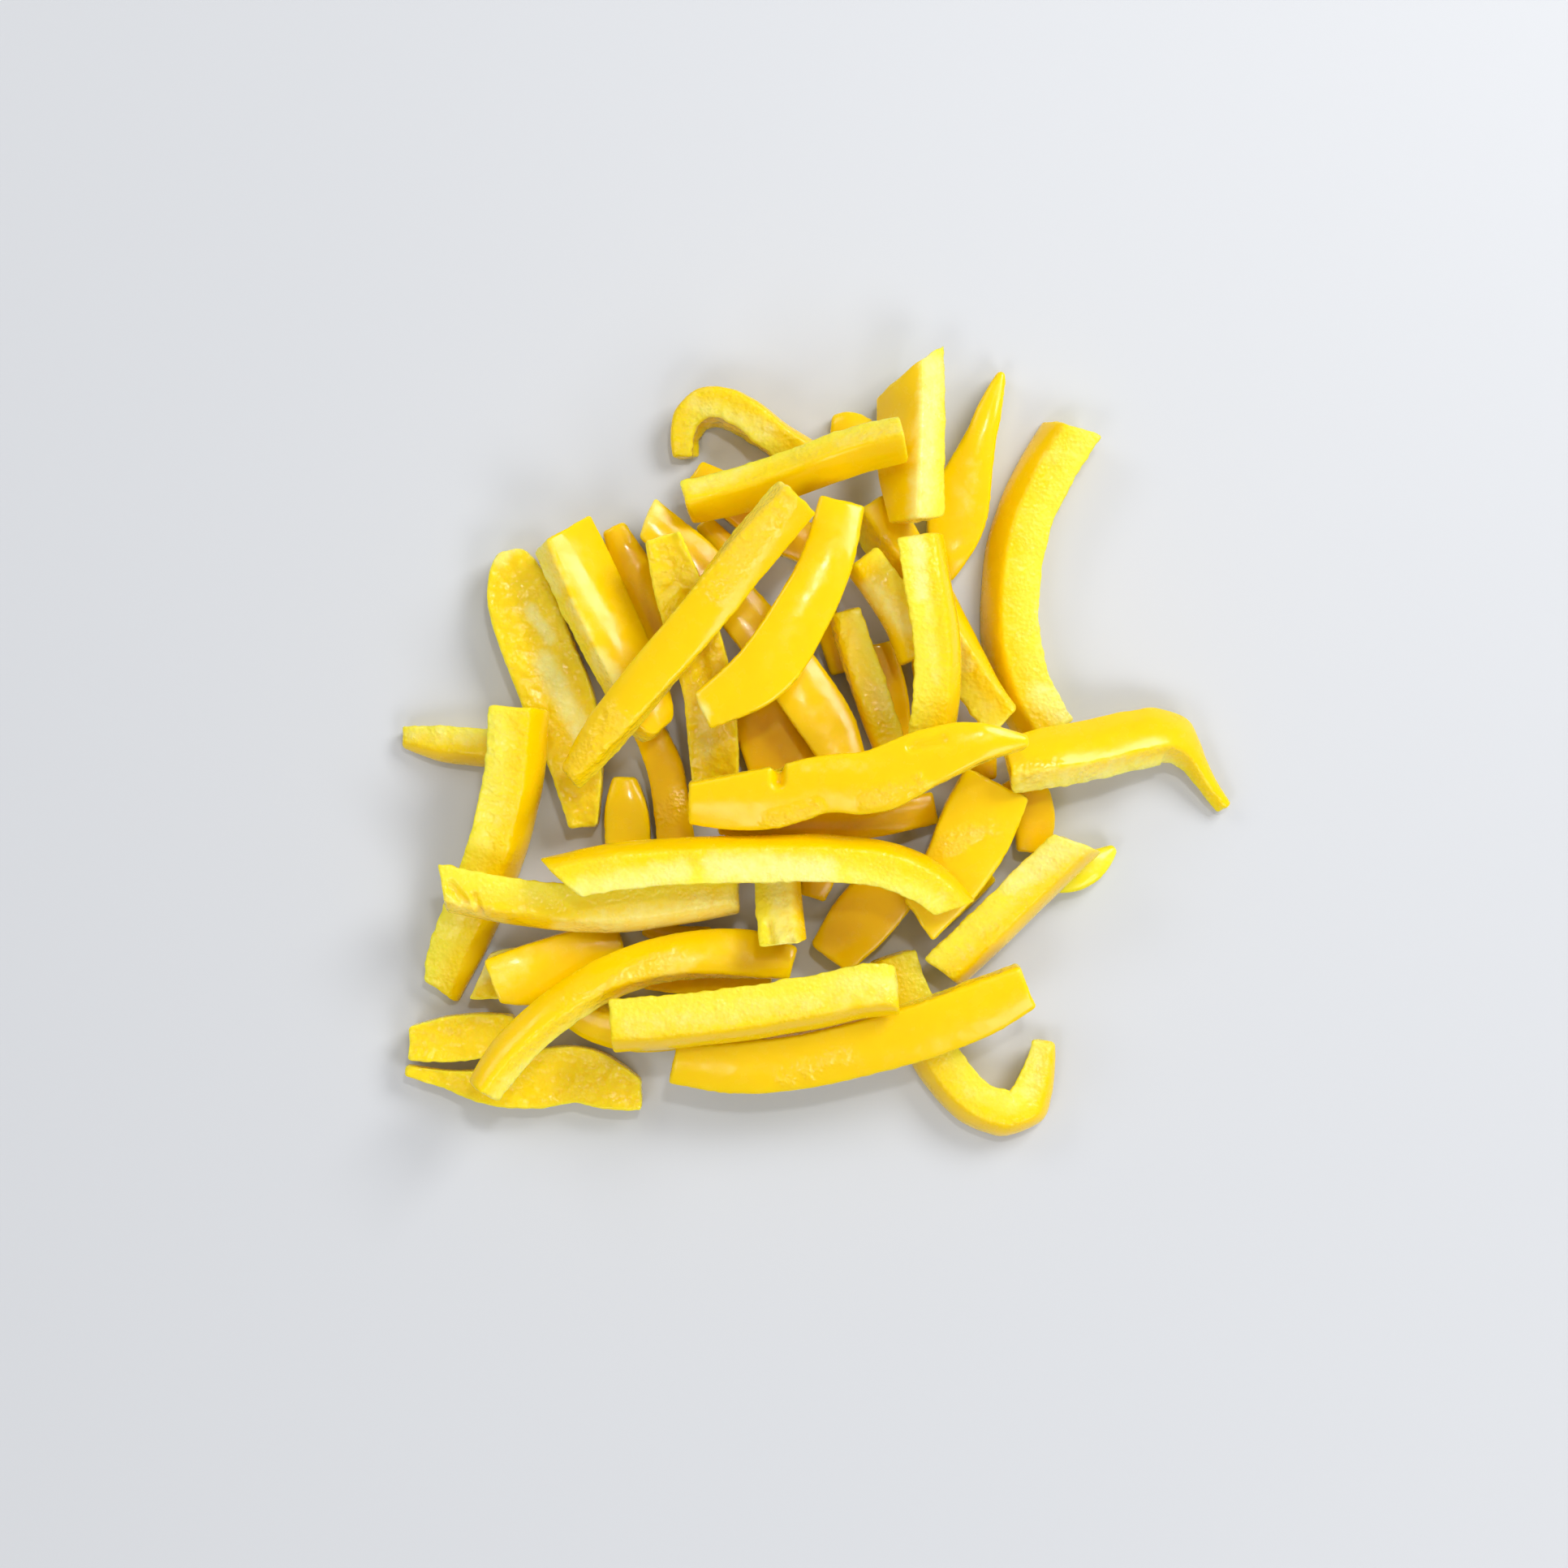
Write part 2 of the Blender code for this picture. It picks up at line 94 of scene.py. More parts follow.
# %% [markdown]
# ## The light
#
# Soft daylight from several sides. Large area lamps low at the sides light the heap without
# putting a white haze on faces that look straight up, so that the skin keeps its deep yellow,
# and faces that lean towards a lamp catch a bright wet glint. One small lamp higher up gives the
# juice its crisp highlights.

# %% Light
def softbox(name, azimuth, elevation, distance, size, power, colour=(1.0, 1.0, 1.0)):
    """A square area lamp that looks at the heap. Azimuth 0 is along +X, turning to +Y."""
    data = bpy.data.lights.new(name, "AREA")
    data.shape = "RECTANGLE"
    data.size, data.size_y = size
    data.energy = power
    data.color = colour
    lamp = bpy.data.objects.new(name, data)
    bpy.context.scene.collection.objects.link(lamp)
    a, e = math.radians(azimuth), math.radians(elevation)
    away = Vector((math.cos(a) * math.cos(e), math.sin(a) * math.cos(e), math.sin(e)))
    lamp.location = away * distance
    lamp.rotation_euler = away.to_track_quat("Z", "Y").to_euler()
    return lamp


softbox("window_back_right", 42, 40, 1.1, (0.5, 0.4), 7.4)
softbox("window_front_right", -52, 42, 1.1, (0.5, 0.4), 3.4)
softbox("window_back_left", 140, 34, 1.1, (0.5, 0.3), 1.9)
softbox("window_front_left", -122, 52, 1.0, (0.35, 0.3), 1.5)
softbox("small_high_lamp", 70, 70, 1.2, (0.10, 0.07), 2.2)

world = bpy.data.worlds.new("soft_room")
world.use_nodes = True
world.node_tree.nodes["Background"].inputs["Color"].default_value = (0.98, 0.98, 1.0, 1.0)
world.node_tree.nodes["Background"].inputs["Strength"].default_value = 0.36
bpy.context.scene.world = world
bpy.context.scene.view_settings.view_transform = "Standard"

# %% [markdown]
# ## The floor
#
# The heap lies on a plain pale surface. It isn't part of the pepper.

# %% Floor
FLOOR_HALF = 1.5

floor_mesh = bpy.data.meshes.new("floor")
floor_form = bmesh.new()
bmesh.ops.create_grid(floor_form, x_segments=1, y_segments=1, size=FLOOR_HALF)
bmesh.ops.translate(floor_form, verts=floor_form.verts, vec=(0, 0, -0.0001))
floor_form.to_mesh(floor_mesh)
floor_form.free()
floor = bpy.data.objects.new("floor", floor_mesh)
bpy.context.scene.collection.objects.link(floor)
floor_finish = bpy.data.materials.new("pale_glaze")
floor_finish.use_nodes = True
glaze = floor_finish.node_tree.nodes["Principled BSDF"]
glaze.inputs["Base Color"].default_value = (0.60, 0.615, 0.64, 1.0)
glaze.inputs["Roughness"].default_value = 0.45
glaze.inputs["Specular IOR Level"].default_value = 0.25
floor_mesh.materials.append(floor_finish)
print("floor is", 2 * FLOOR_HALF, "m across")

# %% [markdown]
# ## Reading a strip from the frame
#
# A CAD strip is a bar: eight points round its cross-section, repeated along its length. Its
# triangles are merged, and its two ends are found as the small groups of faces that meet all the
# rest at sharp edges. Stepping from the left end, one ring of points at a time, gives the strip's
# sections in order, so that fine detail can be laid into exactly the space that the CAD solid
# holds.

# %% Ends and rings of a CAD strip
MERGE = 1e-6
RING = 8
END_FACES = 6


def ends_of(form):
    """The faces of the strip's two ends, as two sets."""
    for limit in range(30, 80, 2):
        ends, left = [], set(form.faces)
        while left:
            queue = [left.pop()]
            group = set(queue)
            while queue:
                for edge in queue.pop().edges:
                    if edge.calc_face_angle(0.0) < math.radians(limit):
                        joined = left.intersection(edge.link_faces)
                        left -= joined
                        group |= joined
                        queue.extend(joined)
            if len(group) == END_FACES:
                ends.append(group)
        if len(ends) == 2:
            return ends
    raise RuntimeError("no two ends found")


def rings_of(form):
    """The strip's points ring by ring from its left end, each ring in order and in step."""
    ends = ends_of(form)
    ends.sort(key=lambda end: sum(face.calc_center_median().x for face in end))
    inside = {e for end in ends for face in end for e in face.edges if end.issuperset(e.link_faces)}
    rings, ring, seen = [], {v for face in ends[0] for v in face.verts}, set()
    while ring:
        seen |= ring
        order = [min(ring, key=lambda v: v.index)]
        while len(order) < RING:
            near = {e.other_vert(order[-1]) for e in order[-1].link_edges if e not in inside}
            order.append(min((near & ring) - set(order), key=lambda v: v.index))
        if rings:
            ways = [turned[i:] + turned[:i] for turned in (order, order[::-1]) for i in range(RING)]
            order = min(ways, key=lambda way: sum((a.co - b.co).length for a, b in zip(way, rings[-1])))
        rings.append(order)
        ring = {edge.other_vert(v) for v in ring for edge in v.link_edges} - seen
    return np.array([[v.co for v in ring] for ring in rings])


# %% Sections of a CAD strip
def corner_line(rings):
    """Where in the rings the first of the four long edges runs: the ring turns most at those."""
    sides = np.roll(rings, -1, axis=1) - rings
    sides /= np.linalg.norm(sides, axis=2)[:, :, None]
    turn = 1 - (sides * np.roll(sides, 1, axis=1)).sum(axis=2).mean(axis=0)
    return max(range(4), key=lambda i: sum(turn[(i + step) % RING] for step in (0, 3, 4, 7)))


def sections_of(node):
    """Points of each section as an array (sections, 2, 4, 3), the inner side first, then the skin."""
    form = bmesh.new()
    form.from_mesh(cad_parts[node].data)
    bmesh.ops.remove_doubles(form, verts=form.verts, dist=MERGE)
    form.verts.index_update()
    rings = rings_of(form)
    form.free()
    rings = np.roll(rings, -corner_line(rings), axis=1)
    points = np.stack([rings[:, :4], rings[:, :3:-1]], axis=1)
    corners, middles = points[:, :, ::3].mean(axis=2), points[:, :, 1:3].mean(axis=2)
    through = corners[:, 1] - corners[:, 0]
    if ((middles - corners).sum(axis=1) * through).sum() < 0:
        points, through = points[:, ::-1], -through
    along = np.gradient(points.mean(axis=(1, 2)), axis=0)
    across = (points[:, :, 3] - points[:, :, 0]).mean(axis=1)
    if (np.cross(along, across) * through).sum() < 0:
        points = points[:, :, ::-1]
    return points


sections = {node: sections_of(node) for node in sorted(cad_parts)}
print(sum(len(s) for s in sections.values()), "sections read from", len(sections), "strips")

# %% [markdown]
# ## From sections to a smooth strip
#
# Between the CAD sections the strip is a smooth curve along its length, and a smooth arch across
# the skin and the inner side. `lay` takes plain bar coordinates, each from -0.5 to 0.5, and says
# where they are in the heap.

# %% Laying a bar into a strip
STOPS = (-0.5, -1 / 6, 1 / 6, 0.5)  # where across the bar the four points of a side stand


def arch_weights(across):
    """How much each of a side's four points counts, so that the side is one smooth arch."""
    weights = []
    for i, stop in enumerate(STOPS):
        weight = np.ones_like(across)
        for j, other in enumerate(STOPS):
            if i != j:
                weight = weight * (across - other) / (stop - other)
        weights.append(weight)
    return np.stack(weights, axis=1)


def between(points, along):
    """The section at each place along the strip, on a smooth curve through the CAD sections."""
    padded = np.concatenate([2 * points[:1] - points[1:2], points, 2 * points[-1:] - points[-2:-1]])
    place = (along + 0.5) * (len(points) - 1)
    index = np.clip(place.astype(int), 0, len(points) - 2)
    t = (place - index)[:, None, None, None]
    before, start, finish, after = (padded[index + i] for i in range(4))
    return 0.5 * (
        2 * start
        + (finish - before) * t
        + (2 * before - 5 * start + 4 * finish - after) * t**2
        + (3 * start - before - 3 * finish + after) * t**3
    )


def lay(points, bar):
    """Places bar coordinates (along, across, through) in the strip."""
    section = between(points, bar[:, 0])
    weights = arch_weights(bar[:, 1])[:, None, :, None]
    inner, skin = np.moveaxis((section * weights).sum(axis=2), 1, 0)
    return inner + (skin - inner) * (bar[:, 2:] + 0.5)


def spans(points, along):
    """Width and thickness of the strip in metres at each place along it."""
    section = between(points, along)
    width = np.linalg.norm((section[:, :, 3] - section[:, :, 0]).mean(axis=1), axis=1)
    wall = np.linalg.norm((section[:, 1] - section[:, 0])[:, ::3].mean(axis=1), axis=1)
    return width, wall


lengths = {}
for node, points in sections.items():
    middle = points.mean(axis=(1, 2))
    lengths[node] = float(np.linalg.norm(np.diff(middle, axis=0), axis=1).sum())
longest = max(lengths, key=lengths.get)
print(f"longest strip {longest}, {lengths[longest] / MM:.0f} mm")

# %% [markdown]
# ## The plain bar
#
# Each strip starts as a unit cube, cut finely along its three directions. A knife leaves a crisp
# edge, but never a perfectly sharp one, so every vertex near an edge is pulled onto a small
# round. The direction it is pulled in also says how much of the vertex belongs to the skin, to
# the inner side, to a cut or to an end, which the colours need later.

# %% A finely divided bar with rounded edges
GRID = 0.42 * MM
EDGE_ROUND = 0.75 * MM
CROWD = 0.35  # how far the grid crowds towards the edges


def divided_bar(cells):
    """A unit cube cut into this many cells along each axis, as a mesh."""
    form = bmesh.new()
    bmesh.ops.create_cube(form, size=1.0)
    for axis in range(3):
        edges = [e for e in form.edges if abs(e.verts[0].co[axis] - e.verts[1].co[axis]) > 0.5]
        bmesh.ops.subdivide_edges(form, edges=edges, cuts=cells[axis] - 1, use_grid_fill=True)
    mesh = bpy.data.meshes.new("bar")
    form.to_mesh(mesh)
    form.free()
    return mesh


def coordinates(mesh):
    values = np.empty(len(mesh.vertices) * 3, np.float32)
    mesh.vertices.foreach_get("co", values)
    return values.reshape(-1, 3).astype(float)


def rounded(bar, length, width, wall):
    """Pulls the bar's edges onto a small round. Returns the bar and the way each vertex faces."""
    crowded = bar + CROWD * np.sin(2 * math.pi * bar) / (2 * math.pi)
    half = np.stack([np.full_like(width, length), width, wall], axis=1) / 2
    radius = np.minimum(EDGE_ROUND, 0.8 * half.min(axis=1))[:, None]
    place = crowded * 2 * half
    core = np.clip(place, radius - half, half - radius)
    way = place - core
    way /= np.linalg.norm(way, axis=1)[:, None]
    return (core + radius * way) / (2 * half), way


test_bar = divided_bar((12, 6, 5))
print("a coarse bar has", len(test_bar.polygons), "faces")
bpy.data.meshes.remove(test_bar)

# %% [markdown]
# ## Marks on the strips
#
# Every strip has its own marks. Pale marks are mostly the whitish ribs where a wall between two chambers
# was attached, and the pale rims and ends where the flesh is thin; a few are painted highlights,
# pale streaks that stand for a gloss highlight on the skin. Wet marks are patches where
# juice stands on the surface. Each mark is a soft band between two points of the plan:
# (from x, from y, to x, to y, half width, strength), in mm.

# %% Pale and wet marks
PALE_AND_HIGHLIGHT_MARKS = {
    "boat_left": [(-57, 17, -48, 0, 2.6, 1.0), (-67, 39, -61, 44, 2.0, 0.7), (-60, 28, -56, 22, 1.6, 0.9)],
    "wide_back_left": [
        (-58, 42, -54, 33, 3.0, 0.7),
        (-51, 29, -47, 22, 1.4, 0.7),
        (-45, 18, -39, 8, 2.2, 0.9),
    ],
    "long_diagonal_low": [(-37, 47, -34.5, 49.5, 3.5, 0.7)],
    "inner_back_left": [(-23, 5, -23, -2, 2.4, 0.6)],
    "diagonal_skin_top": [(-28, 9, -24, 6, 2.6, 0.9)],
    "crossbar_back": [(-25, 53, -14, 57, 1.8, 0.6), (5, 62, 19, 65, 1.6, 0.5)],
    "hook_back_left": [(-25, 72, -10, 66, 2.2, 0.6)],
    "ridge_back_right": [(25, 80, 22, 44, 2.8, 0.9)],
    # painted highlight: this pale streak on the skin stands for a soft gloss highlight, not a rib
    "spear_back_right": [(34, 60, 33, 50, 1.8, 0.4)],
    "upright_right": [(21, 41, 22, 30, 1.8, 0.9), (23, 30, 25, 12, 1.4, 0.5)],
    # partly real and partly painted: the pale cut face of the lobe, with painted highlights on it
    "lobe_middle_right": [(12, 32, 19, 24, 2.6, 0.8)],
    "slant_right": [(27, 29, 32, 16, 1.8, 0.6), (33, 10, 38, 4, 4.0, 0.35)],
    "long_curve_right": [(51, 60, 58, 66, 3.0, 0.4), (48, 30, 50, 12, 2.4, 0.5), (49, 10, 54, 6, 3.6, 0.8)],
    # the first mark is a real pale cut rim; the second, along the thin right end, is a painted highlight
    # standing for a glare line
    "s_curve_top": [(-2, -5.4, 9, -5, 1.6, 0.35), (30, 0, 40, 2, 1.4, 0.4)],
    "bent_arm": [(44, -9, 74, -5, 3.0, 0.7), (74, -1, 76, -2, 3.5, 0.3)],
    "upright_left": [(-66, 5, -68, -18, 2.6, 0.4)],
    "upper_front_left": [(-76, -34, -66, -38, 2.6, 0.6), (-52, -40, -18, -34, 3.4, 0.8)],
    "long_pale_top": [
        (-48, -31, -28, -27, 3.0, 0.8),
        (-20, -26, 2, -27, 3.4, 0.95),
        (2, -27, 26, -33, 2.4, 0.5),
    ],
    "pale_end_front_left": [(-78, -49, -68, -46, 4.5, 0.95)],
    "rounded_front_left": [(-66, -50, -62, -48, 3.0, 0.5)],
    "arc_front_left": [(-66, -73, -50, -59, 1.8, 0.55), (-50, -59, -26, -46, 1.6, 0.55)],
    "torn_end": [(-7, -30, -6, -43, 3.2, 0.8)],
    "front_long_inner": [(-38, -59, 12, -52, 2.8, 0.55), (4, -50, 16, -50, 3.0, 0.6)],
    "hook_front_right": [(33, -74, 42, -77, 2.0, 0.5), (46, -74, 49, -64, 2.5, 0.6)],
    "slant_front_right": [(42, -29, 56, -20, 3.4, 0.8), (30, -46, 48, -27, 1.6, 0.4)],
    "sliver_left": [(-86, 2, -70, 1, 2.2, 0.6)],
    "leaf_low_right": [(52, -28, 64, -24, 2.4, 0.5)],
}

WET = {
    "thin_diagonal_top": [(-20, 32, -6, 51, 2.6, 1.0), (-50, -6, -41, 3, 3.6, 1.0)],
    "wet_face_middle": [(3, 27, 14, 8, 4.0, 1.0)],
    "boat_left": [(-60, 31, -52, 20, 4.0, 0.9)],
    "inner_back_left": [(-31, 33, -26, 24, 2.6, 0.9)],
    "s_curve_top": [(11, -12, 21, -8.5, 1.8, 1.0), (-9, -17, 0, -14.5, 1.8, 1.0)],
    "under_left": [(-32, -15, -27, -12, 2.2, 1.0)],
    "arch_right": [(28, -22, 37, -17, 2.2, 0.8)],
    "bent_arm": [(42, -8, 50, -6, 2.4, 0.8)],
    "upright_left": [(-67, 0, -67, -24, 3.4, 0.7)],
    "upper_front_left": [(-76, -33, -45, -36, 3.6, 0.7)],
    "hook_back_left": [(-27, 62, -18, 70, 2.6, 0.6)],
    "arc_front_left": [(-50, -55, -30, -44, 2.6, 0.7)],
    "front_long_skin": [(-5, -70, 6, -66, 2.4, 0.6)],
}


def marked(marks, plan):
    """How strongly each plan point is marked, from 0 to 1."""
    strength = np.zeros(len(plan))
    for x0, y0, x1, y1, reach, level in marks:
        start, run = np.array([x0, y0]), np.array([x1 - x0, y1 - y0])
        share = np.clip((plan - start) @ run / (run @ run), 0, 1)
        gap = np.linalg.norm(plan - start - share[:, None] * run, axis=1) / reach
        inside = np.clip((1.9 - gap) / 1.7, 0, 1)
        strength = np.maximum(strength, level * inside**2 * (3 - 2 * inside))
    return strength


print(sum(map(len, PALE_AND_HIGHLIGHT_MARKS.values())), "pale marks and", sum(map(len, WET.values())), "wet marks")

# %% [markdown]
# ## Nicks and round ends
#
# Small nicks and tears push the surface in. A nick is written like a mark, with its depth in mm
# in place of the strength. Some ends were cut to a round: -1 is the strip's left end and 1 its
# right end, each with the length over which the width runs in.

# %% Nicks and round ends
DENTS = {
    "s_curve_top": ((-7.5, -5.4, -7.5, -8.2, 1.0, 1.8), (20, -1, 26, 0.5, 0.8, 0.5)),
    "torn_end": ((-5.2, -41.6, -2.4, -44.2, 0.9, 1.4), (-9.6, -38, -8.8, -43, 0.7, 1.2)),
    "upper_front_left": ((-75.4, -30, -72.6, -33.4, 0.9, 1.2), (-70.6, -32, -69.4, -35.6, 0.6, 0.8)),
    "inner_back_left": ((-26.4, 30, -23.2, 14, 1.3, 0.8),),
    "boat_left": ((-60, 30, -56.4, 12, 2.2, 1.0),),
}
ROUND_ENDS = {
    "boat_left": {-1: 8.0 * MM},
    "upper_front_left": {1: 3.0 * MM},
    "front_long_inner": {1: 3.0 * MM},
    "wide_back_left": {1: 6.0 * MM},
}
BLUNT = 0.35  # share of the width that is left at the very end of a round
print(len(DENTS), "strips have nicks")

# %% [markdown]
# ## Relief
#
# The skin waves gently. The inner side is soft and lumpy, with low ribs along the strip. A cut
# shows the grain of the flesh, with small torn cells, and the inner edges are ragged. Beads of
# juice stand inside the wet marks. All of it is real displacement of the mesh, so that it shows
# at the outline as well; only the finest grain is left to the material's bump.

# %% Relief
def waves(places, size, seed):
    """Smooth noise from -1 to 1 with lumps of about this size, in mm."""
    shifted = places / size + (seed * 7.13, seed * 3.71, seed * 5.37)
    return np.fromiter(map(noise.noise, shifted.tolist()), float, len(places))


def relief(places, stretched, facing, from_inner):
    """How far each vertex stands out, in mm. facing holds the shares of end, cut, skin and inner."""
    end, cut, skin, inner = facing
    broad = waves(places, 9.0, 1)
    middling = waves(places, 3.2, 2)
    fine = waves(places, 1.15, 3)
    ribs = waves(stretched, 2.2, 4)
    rise = skin * (0.16 * broad + 0.04 * middling)
    rise += inner * (0.2 * broad + 0.2 * middling + 0.12 * fine + 0.22 * ribs)
    rough_patch = np.clip(0.5 + 1.6 * waves(places, 6.0, 6), 0.0, 1.0)
    rise += (cut + end) * (0.10 * broad + 0.08 * middling + 0.17 * fine * rough_patch)
    ragged = np.exp(-np.maximum(from_inner, 0.0) / 0.9)
    rise += end * 0.3 * waves(places, 3.4, 7)
    rise += 0.25 * (inner + 0.4 * skin) * waves(stretched, 5.0, 8)
    rise += ragged * (0.35 * waves(places, 1.9, 5) - 0.12)
    return rise


def drops(places, wet):
    """Small beads of standing juice, in mm, inside the wet marks."""
    return wet * 0.5 * np.clip(waves(places, 1.7, 9) - 0.05, 0.0, 0.5)


print("relief ready")

# %% [markdown]
# ## Making the strips
#
# One function does the whole job for a strip: divide the bar, round it, lay it into the CAD
# sections, raise the relief along the normals, and store what the material needs to know.

# %% Build
def store(mesh, name, values):
    attribute = mesh.attributes.new(name, "FLOAT", "POINT")
    attribute.data.foreach_set("value", values.astype(np.float32))


def normals(mesh):
    values = np.empty(len(mesh.vertices) * 3, np.float32)
    mesh.vertex_normals.foreach_get("vector", values)
    return values.reshape(-1, 3).astype(float)


def build_strip(node, points):
    width, wall = spans(points, np.linspace(-0.5, 0.5, 30))
    sizes = (lengths[node], width.max(), wall.max())
    mesh = divided_bar([max(6, round(size / GRID)) for size in sizes])
    mesh.name = f"{node}_flesh"
    unit = coordinates(mesh)
    width, wall = spans(points, unit[:, 0])
    bar, way = rounded(unit, lengths[node], width, wall)
    for end, reach in ROUND_ENDS.get(node, {}).items():
        away = np.clip((0.5 - end * bar[:, 0]) * lengths[node] / reach, 0.0, 1.0)
        bar[:, 1] *= BLUNT + (1 - BLUNT) * np.sqrt(1 - (1 - away) ** 2)
    places = lay(points, bar)
    mesh.vertices.foreach_set("co", places.astype(np.float32).ravel())
    mesh.update()
    share = way**2
    facing = (share[:, 0], share[:, 1], share[:, 2] * (way[:, 2] > 0), share[:, 2] * (way[:, 2] < 0))
    stretched = np.stack([bar[:, 0] * lengths[node] / 6, bar[:, 1] * width, bar[:, 2] * wall], axis=1)
    rise = relief(places / MM, stretched / MM + sizes[0] * 1000, facing, (0.5 + bar[:, 2]) * wall / MM)
    plan = places[:, :2] / MM + PLAN_SHIFT
    wet = marked(WET.get(node, ()), plan)
    rise -= marked(DENTS.get(node, ()), plan) * (facing[1] + facing[2] + facing[3])
    rise += drops(places / MM, wet)
    placed = places + normals(mesh) * rise[:, None] * MM
    placed[:, 2] = np.maximum(placed[:, 2], 0.0)
    mesh.vertices.foreach_set("co", placed.astype(np.float32).ravel())
    store(mesh, "skin_depth", (0.5 - bar[:, 2]) * wall / MM)
    store(mesh, "inner_side", facing[3])
    store(mesh, "cut_side", facing[0] + facing[1])
    store(mesh, "pale", marked(PALE_AND_HIGHLIGHT_MARKS.get(node, ()), plan))
    store(mesh, "wet", wet)
    mesh.shade_smooth()
    mesh.update()
    strip = bpy.data.objects.new(f"{node}_flesh", mesh)
    bpy.context.scene.collection.objects.link(strip)
    return strip


strips = {node: build_strip(node, points) for node, points in sections.items()}
print(len(strips), "strips,", sum(len(s.data.polygons) * 2 for s in strips.values()), "triangles")

# %% [markdown]
# ## Colour
#
# The colour follows the depth below the skin: a thin deep yellow skin, then bright flesh that
# pales towards the inside. Ribs are whitish, and the same whitish colour is laid on the pale marks
# that are painted highlights. The mix is the same for every strip, so it is one
# node group that puts out a colour.

# %% Colour group
def group_with(name, inputs, outputs):
    """A node group with named sockets: (kind, name, default)."""
    group = bpy.data.node_groups.new(name, "ShaderNodeTree")
    for kind, label, default in inputs:
        socket = group.interface.new_socket(label, in_out="INPUT", socket_type=f"NodeSocket{kind}")
        socket.default_value = default
    for kind, label in outputs:
        group.interface.new_socket(label, in_out="OUTPUT", socket_type=f"NodeSocket{kind}")
    return group, group.nodes.new("NodeGroupInput"), group.nodes.new("NodeGroupOutput")


def attribute_node(tree, name):
    node = tree.nodes.new("ShaderNodeAttribute")
    node.attribute_name = name
    return node.outputs["Fac"]


def noise_node(tree, scale, detail=2.0, roughness=0.5):
    """Noise over the object's own coordinates, as a value from 0 to 1."""
    where = tree.nodes.new("ShaderNodeTexCoord")
    node = tree.nodes.new("ShaderNodeTexNoise")
    tree.links.new(where.outputs["Object"], node.inputs["Vector"])
    node.inputs["Scale"].default_value = scale
    node.inputs["Detail"].default_value = detail
    node.inputs["Roughness"].default_value = roughness
    return node.outputs["Fac"]


def sum_node(tree, operation, *values):
    """A Math node over sockets and plain numbers."""
    node = tree.nodes.new("ShaderNodeMath")
    node.operation = operation
    for socket, value in zip(node.inputs, values):
        if isinstance(value, (int, float)):
            socket.default_value = value
        else:
            tree.links.new(value, socket)
    return node.outputs["Value"]


def range_node(tree, value, low, high, to_low=0.0, to_high=1.0):
    node = tree.nodes.new("ShaderNodeMapRange")
    node.interpolation_type = "SMOOTHSTEP"
    for label, limit in zip(("From Min", "From Max", "To Min", "To Max"), (low, high, to_low, to_high)):
        node.inputs[label].default_value = limit
    tree.links.new(value, node.inputs["Value"])
    return node.outputs["Result"]


def mix_node(tree, factor, first, second):
    node = tree.nodes.new("ShaderNodeMix")
    node.data_type = "RGBA"
    tree.links.new(factor, node.inputs["Factor"])
    for socket, value in ((node.inputs["A"], first), (node.inputs["B"], second)):
        tree.links.new(value, socket)
    return node.outputs["Result"]


wall_colour, tints, result = group_with(
    "pepper_wall_colour",
    [
        ("Color", "Skin", (0.95, 0.62, 0.0, 1)),
        ("Color", "Bright Flesh", (0.95, 0.68, 0.003, 1)),
        ("Color", "Pale Flesh", (0.95, 0.77, 0.04, 1)),
        ("Color", "Inner Side", (0.92, 0.66, 0.006, 1)),
        ("Color", "Rib And Highlight", (0.94, 0.86, 0.30, 1)),
    ],
    [("Color", "Colour")],
)
depth = attribute_node(wall_colour, "skin_depth")
drift = noise_node(wall_colour, 130.0)
speckle = noise_node(wall_colour, 900.0, 3.0, 0.6)
deep = sum_node(wall_colour, "MULTIPLY_ADD", drift, 2.4, depth)
deep = sum_node(wall_colour, "MULTIPLY_ADD", speckle, 1.4, deep)
inward = range_node(wall_colour, deep, 3.4, 7.6)
flesh = mix_node(wall_colour, inward, tints.outputs["Bright Flesh"], tints.outputs["Pale Flesh"])
body = mix_node(wall_colour, range_node(wall_colour, depth, 0.1, 1.1), tints.outputs["Skin"], flesh)
body = mix_node(wall_colour, attribute_node(wall_colour, "inner_side"), body, tints.outputs["Inner Side"])
mottle = noise_node(wall_colour, 420.0, 3.0, 0.6)
# The pale marks mix in the whitish colour: real ribs and pale rims, and painted highlights where a mark
# stands for a glint.
blotch = sum_node(wall_colour, "MULTIPLY_ADD", mottle, 0.9, attribute_node(wall_colour, "pale"))
rib_and_highlight_mix = range_node(wall_colour, blotch, 0.65, 1.75)
body = mix_node(wall_colour, rib_and_highlight_mix, body, tints.outputs["Rib And Highlight"])
wall_colour.links.new(body, result.inputs["Colour"])
print("colour group has", len(wall_colour.nodes), "nodes")

# %% [markdown]
# ## Wet grain
#
# A fresh cut is a bed of opened cells, each just under a millimetre, full of juice. The group
# puts out a height for the Bump node, a roughness that is low where juice stands, and the share
# of juice, which sets the weight of the wet coat.

